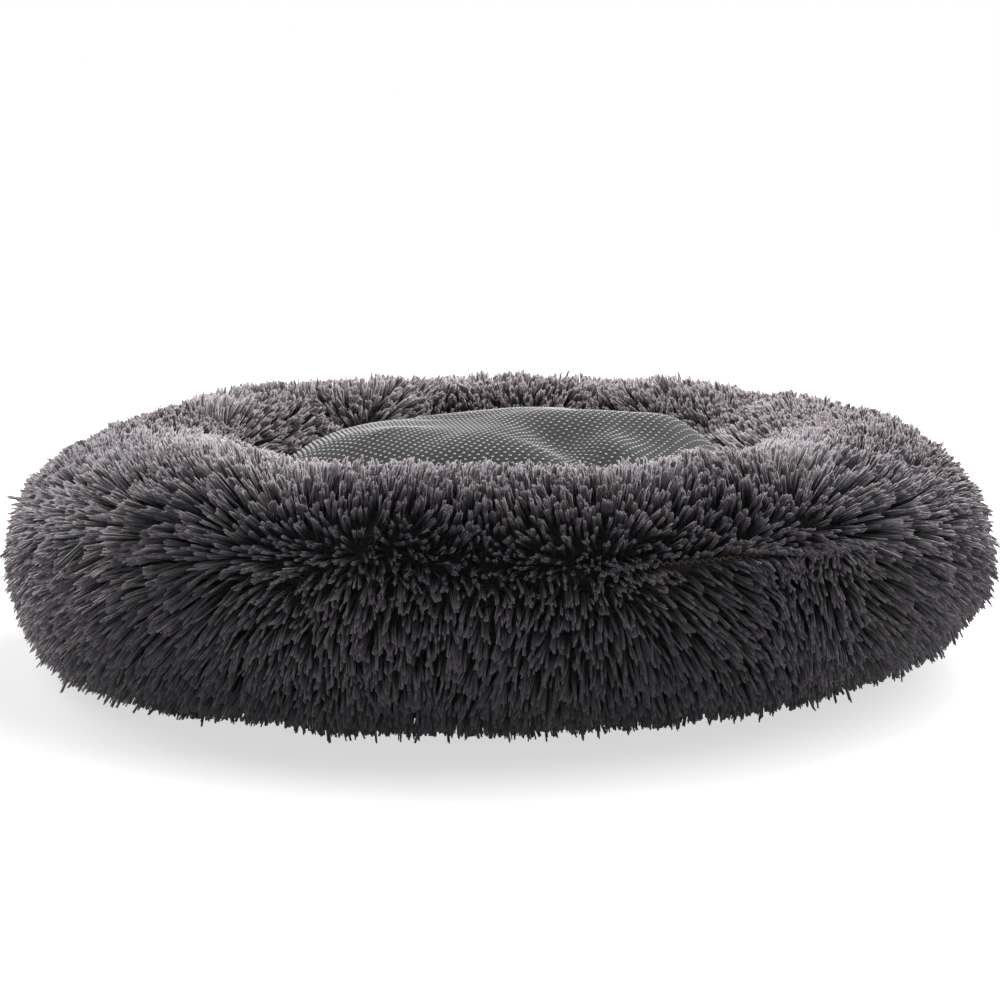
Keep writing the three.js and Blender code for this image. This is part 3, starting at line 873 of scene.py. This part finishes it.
# staggered tufts this far apart, each moved a little, as far out as the seam; outside this radius
# they lean towards the middle
SPREAD = 7.4
MOVED = 2.4
LEANS_FROM = 120
rng = np.random.default_rng(31)
column, row = np.meshgrid(np.arange(-29, 30), np.arange(-34, 35))
x = (column + 0.5 * (row % 2)).ravel() * SPREAD + rng.uniform(-MOVED, MOVED, column.size)
y = row.ravel() * SPREAD * ROW_STEP + rng.uniform(-MOVED, MOVED, column.size)
radius, azimuth = np.hypot(x, y), np.arctan2(y, x)
seam_ground = place_at(seam_at(azimuth, INNER_SEAM), 0, NEST_FLOOR_FACE - GROUND_THICKNESS)[:, 0]
kept = radius < seam_ground[:, 0] - 4
x, y, radius, azimuth, seam_ground = (v[kept] for v in (x, y, radius, azimuth, seam_ground))
height = nest_middle + (seam_ground[:, 1] - nest_middle) * (radius / seam_ground[:, 0]) ** 2
roots = np.stack([BED_AXIS[0] + x, BED_AXIS[1] + y, height], axis=-1)
drifts = np.stack([drift(azimuth, radius / 60, 5, seed) for seed in (32, 33)])
lean = rng.normal(0, 0.22, (2, len(x))) + 0.3 * drifts
lean -= 0.5 * np.stack([x, y]) / CLOTH_RADIUS * (radius > LEANS_FROM)
ways = unit(np.stack([lean[0], lean[1], -np.ones(len(x))], axis=-1))
lengths = PILE_DEPTH * (1 + rng.normal(0, 0.08, len(x)))
shades = 0.5 + rng.normal(0, 0.13, len(x))
floor_pile = lay_pile(
    "nest_floor_pile",
    (roots, ways, np.zeros_like(ways), lengths, shades),
    strands=6,
    rings=2,
    tuft_radius=1.9,
    strand_radius=0.6,
    seed=34,
)

# ---- Base cover ring -------------------------------------------------
# The second plush ring, from the outer seam over the top of the bolster to the inner seam. Its
# pile stands up along the crest and folds over the edge of the base cloth.
base_ground_piece = ring_piece(
    "base_ring_ground", cover_ground(1, BASE_FUR_FACE), knit
)
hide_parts("base_fur_ring")

# where light is painted into the tufts, as patches paler than elsewhere: azimuth and angle in
# degrees, how much, and both reaches
PAINTED_LIGHT_PATCHES = (
    (-176, 118, 0.75, 0.6, 0.5),
    (-131, 92, 0.9, 0.28, 0.35),
    (95, 91, 1.0, 1.0, 0.36),
)
azimuth, angle = cover_tufts(
    1, np.radians(149), ((32, 90, 105, 149), (4.3, 4.3, 3.9, 3.9)), 41, 46
)
degrees = np.degrees(angle)
parted = parted_at(azimuth)
way = np.interp(
    degrees,
    (32, 40, 50, 60, 72, 90, 105, 120, 135, 149),
    (20, 34, 52, 70, 84, 97, 110, 127, 140, 142),
)
way += 26 * parted * hump(angle - OUTER_SEAM, np.radians(10))
# the wall of pile on the left lies flatter, towards the cloth
at_left = hump(turn_between(np.radians(172), azimuth), np.radians(34))
way += 18 * at_left * hump(angle - np.radians(122), np.radians(24))
hang = np.interp(degrees, (32, 60, 100, 149), (0.45, 0.1, 0.0, 0.1)) * (1 - 0.7 * parted)
lengths = np.interp(degrees, (32, 50, 100, 125, 140, 149), (24, 24, 25, 28, 30, 30))
# painted shade and light: tufts on the outer side of the crest are set darker, those on its inner
# wall paler
shades = np.interp(degrees, (70, 105), (0.27, 0.8))
rng = np.random.default_rng(42)
lengths *= 1 + 0.06 * drift(azimuth, angle, 30, 43) + rng.normal(0, 0.07, len(angle))
shades += 0.12 * drift(azimuth, angle, 24, 44) + rng.normal(0, 0.13, len(angle))
# painted light: each patch lifts the shades of the tufts in it
for at, up, more, turn, width in PAINTED_LIGHT_PATCHES:
    painted_light = hump(turn_between(np.radians(at), azimuth), turn)
    shades += more * painted_light * hump(angle - np.radians(up), width)
base_pile_pieces = ring_pile(
    "base_ring_pile",
    (azimuth, angle, np.radians(way), hang, lengths, shades),
    gather=np.interp(degrees, (32, 60), (0.4, 0.6)),
    strands=6,
    rings=2,
    radii=(0.95, 0.46),
    seed=50,
)

# ---- Base cloth ------------------------------------------------------
# Non-slip base cloth: plain-woven grey polyester, stretched over the pad and sewn in at the inner
# seam, where it gathers into a few soft folds.
cloth, tree = new_material("polyester_cloth_plain_woven")
# Plain weave of about 0.5 mm threads, drawn at 1.1 mm so that it shows. It gives a dull grey face.
warp, weft = (add_wave(tree, direction, 285.0, 0.6, 1.0) for direction in "XY")
weave = add_maths(tree, "ADD", (warp, "Fac"), (weft, "Fac"))
dust = add_noise(tree, 35.0, 6.0)
mixed = add_maths(tree, "MULTIPLY_ADD", (weave, 0), 0.12, (dust, "Fac"))
tone = add_ramp(tree, (mixed, 0), "#303032", "#39383a", reach=(0.35, 0.85))
look = {"Roughness": 0.65, "Specular IOR Level": 0.1}
finish_material(tree, (tone, "Color"), look, ((weave, 0), 0.00025, 0.5))

cloth_top = BASE_CLOTH_FACE + BASE_CLOTH_THICKNESS
base_cloth = disc_piece(
    "base_cloth_dome",
    [
        dome_run(54, 0.0),
        turned_edge(inner_seam, 0, SEAM_ALLOWANCE, cloth_top, BASE_CLOTH_FACE),
        dome_run(24, BASE_CLOTH_THICKNESS)[:, ::-1],
    ],
    cloth,
)
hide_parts("base_cloth")

# ---- Grip dots -------------------------------------------------------
# Small domes of soft PVC printed on the base cloth in staggered rows 6 mm apart, so that the bed
# doesn't slide. They catch the light as small pale crescents.
DOT_PITCH = 6.0
DOT_RADIUS = 1.05
DOT_HEIGHT = 0.65
DOT_SIDES = 7
DOT_ROWS_TURN = 0.12
DOTS_END = 0.985
# a dot's three rings, from its foot in the cloth upwards: shares of its radius and height
DOT_RINGS = np.array([[1.0, -0.4], [0.98, 0.25], [0.6, 0.85]])

# Plasticised PVC, printed and cured: a pale glossy drop with a bright edge of light on top.
pvc, tree = new_material("soft_pvc_printed_dots")
cloudy = add_noise(tree, 250.0)
tone = add_ramp(tree, (cloudy, "Fac"), "#a3a1a2", "#bbb9ba")
look = {
    "Roughness": 0.15,
    "IOR": 1.53,
    "Coat Weight": 1.0,
    "Coat IOR": 2.0,
    "Coat Roughness": 0.1,
}
finish_material(tree, (tone, "Color"), look)

column, row = np.meshgrid(np.arange(-30, 31), np.arange(-36, 37))
across = ((column + 0.5 * (row % 2)) * DOT_PITCH).ravel()
up = (row * DOT_PITCH * ROW_STEP).ravel()
x = across * np.cos(DOT_ROWS_TURN) - up * np.sin(DOT_ROWS_TURN)
y = across * np.sin(DOT_ROWS_TURN) + up * np.cos(DOT_ROWS_TURN)
radius, azimuth = np.hypot(x, y), np.arctan2(y, x)
share = radius / dome_rim(azimuth, 0.0)[:, 0]
kept = share < DOTS_END
# the dot in the middle is kept off the axis, where the cloth has no way outwards
azimuth, share = azimuth[kept], np.maximum(share[kept], 0.002)


def dome_point(azimuth, share):
    """A point on the base cloth's upper face."""
    return turned(dome_place(azimuth, share, 0.0), azimuth)


centre = dome_point(azimuth, share)
outward = dome_point(azimuth, share + 1e-3) - dome_point(azimuth, share - 1e-3)
around = np.stack([-np.sin(azimuth), np.cos(azimuth), np.zeros_like(azimuth)], axis=-1)
normal = unit(np.cross(outward, around))
tangent = unit(np.cross(around, normal))
other = np.cross(normal, tangent)
turn = np.arange(DOT_SIDES)[:, None] * 2 * np.pi / DOT_SIDES
rim = np.cos(turn) * tangent[:, None, None] + np.sin(turn) * other[:, None, None]
wide, tall = DOT_RADIUS * DOT_RINGS[:, 0], DOT_HEIGHT * DOT_RINGS[:, 1]
rise = tall[:, None, None] * normal[:, None, None]
rings = centre[:, None, None] + wide[:, None, None] * rim + rise
ends = centre[:, None] + np.stack([DOT_HEIGHT * normal, tall[0] * normal], axis=1)
points = np.concatenate([rings.reshape(len(centre), -1, 3), ends], axis=1)
j = np.arange(DOT_SIDES)
j2 = (j + 1) % DOT_SIDES
walls = np.stack([j, j2, DOT_SIDES + j2, DOT_SIDES + j], -1)
walls = np.concatenate([walls, walls + DOT_SIDES])
top, bottom = np.full((2, DOT_SIDES), 3 * DOT_SIDES) + np.arange(2)[:, None]
caps = np.concatenate(
    [np.stack([2 * DOT_SIDES + j, 2 * DOT_SIDES + j2, top], -1), np.stack([j2, j, bottom], -1)]
)
offset = np.arange(len(centre))[:, None, None] * (3 * DOT_SIDES + 2)
grip_dots = make_piece(
    "grip_dots",
    points.reshape(-1, 3),
    [(offset + walls).reshape(-1, 4), (offset + caps).reshape(-1, 3)],
    pvc,
)

# ---- Seam threads ----------------------------------------------------
# Spun polyester thread: the overlock loops bind the turned-in edges inside, and the brown stitch
# that closes the filling slit is sewn last and shows where the pile parts.
thread, tree = new_material("polyester_thread_spun")
plies = add_wave(tree, "DIAGONAL", 420.0, 1.0, 2.0)
tone = add_ramp(tree, (plies, "Fac"), "#4a3a33", "#8a7468")
look = {"Roughness": 0.6, "Sheen Weight": 0.2}
finish_material(tree, (tone, "Color"), look, ((plies, "Fac"), 0.0002, 0.8))
for node in ("outer_overlock", "inner_overlock", "closing_stitch"):
    seam_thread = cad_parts[node]
    seam_thread.data.materials.clear()
    seam_thread.data.materials.append(thread)

# ---- Floor, backdrop and light ---------------------------------------
# A plain white studio floor, a large soft lamp above and behind the bed, one at either side, and a
# weak one in front, so that the pile's tips shine along the top and the low front stays dark.


def add_seen(tree):
    """A value of 1 for light that the camera sees, also by a reflection or through glass, else
    0."""
    path = add_node(tree, "ShaderNodeLightPath")
    seen = (path, "Is Camera Ray")
    for ray in ("Is Glossy Ray", "Is Transmission Ray"):
        seen = (add_maths(tree, "MAXIMUM", seen, (path, ray)), 0)
    return seen


# White paper: matt, with a fine grain. It glows white to the camera, less so round the bed, where
# the shade lies: the glow is dimmed in a circle set a little left of the bed, a painted shadow on
# top of the one that the lamps cast.
paper, tree = new_material("white_paper_floor")
grain = add_noise(tree, 300.0)
tone = add_ramp(tree, (grain, "Fac"), "#d2d2d2", "#d8d8d8")
matt = add_node(tree, "ShaderNodeBsdfDiffuse", {}, {"Color": (tone, "Color")})
# painted shadow: the glow fades towards a point a little left of the bed's middle
away = add_node(
    tree,
    "ShaderNodeVectorMath",
    {"operation": "DISTANCE"},
    {0: add_place(tree), 1: (-0.055, 0.015, 0.0)},
)
far = add_node(
    tree,
    "ShaderNodeMapRange",
    {"interpolation_type": "SMOOTHSTEP"},
    {"Value": (away, "Value"), "From Min": 0.32, "From Max": 0.45, "To Min": 0.65, "To Max": 1.0},
)
level = add_maths(tree, "MULTIPLY", add_seen(tree), (far, "Result"))
glow = add_node(tree, "ShaderNodeEmission", {}, {"Strength": (level, 0)})
both = add_node(tree, "ShaderNodeAddShader", {}, {0: (matt, 0), 1: (glow, 0)})
add_node(tree, "ShaderNodeOutputMaterial", {}, {"Surface": (both, 0)})
floor_mesh = bpy.data.meshes.new("floor")
floor_mesh.from_pydata([(-6, -4, 0), (6, -4, 0), (6, 8, 0), (-6, 8, 0)], [], [(0, 1, 2, 3)])
floor_mesh.materials.append(paper)
floor = bpy.data.objects.new("floor", floor_mesh)
scene.collection.objects.link(floor)

for name, location, size, power in (
    ("top_lamp", (0.45, 0.9, 1.3), 1.2, 19.0),
    ("left_lamp", (-1.6, 1.4, 0.9), 1.4, 36.0),
    ("right_lamp", (1.3, 1.7, 0.9), 1.4, 23.0),
    ("front_lamp", (-0.2, -2.2, 0.6), 1.2, 2.0),
):
    lamp_data = bpy.data.lights.new(name, "AREA")
    lamp_data.size = size
    lamp_data.energy = power
    lamp = bpy.data.objects.new(name, lamp_data)
    scene.collection.objects.link(lamp)
    lamp.location = location
    lamp.rotation_euler = (VIEW_TARGET - lamp.location).to_track_quat("-Z", "Y").to_euler()

world = bpy.data.worlds.new("studio")
scene.world = world
world.use_nodes = True
tree = world.node_tree
tree.nodes.clear()
level = add_node(
    tree, "ShaderNodeMapRange", {}, {"Value": add_seen(tree), "To Min": 0.06, "To Max": 1.0}
)
sky = add_node(
    tree, "ShaderNodeBackground", {}, {"Color": linear("#ffffff"), "Strength": (level, "Result")}
)
add_node(tree, "ShaderNodeOutputWorld", {}, {"Surface": (sky, 0)})
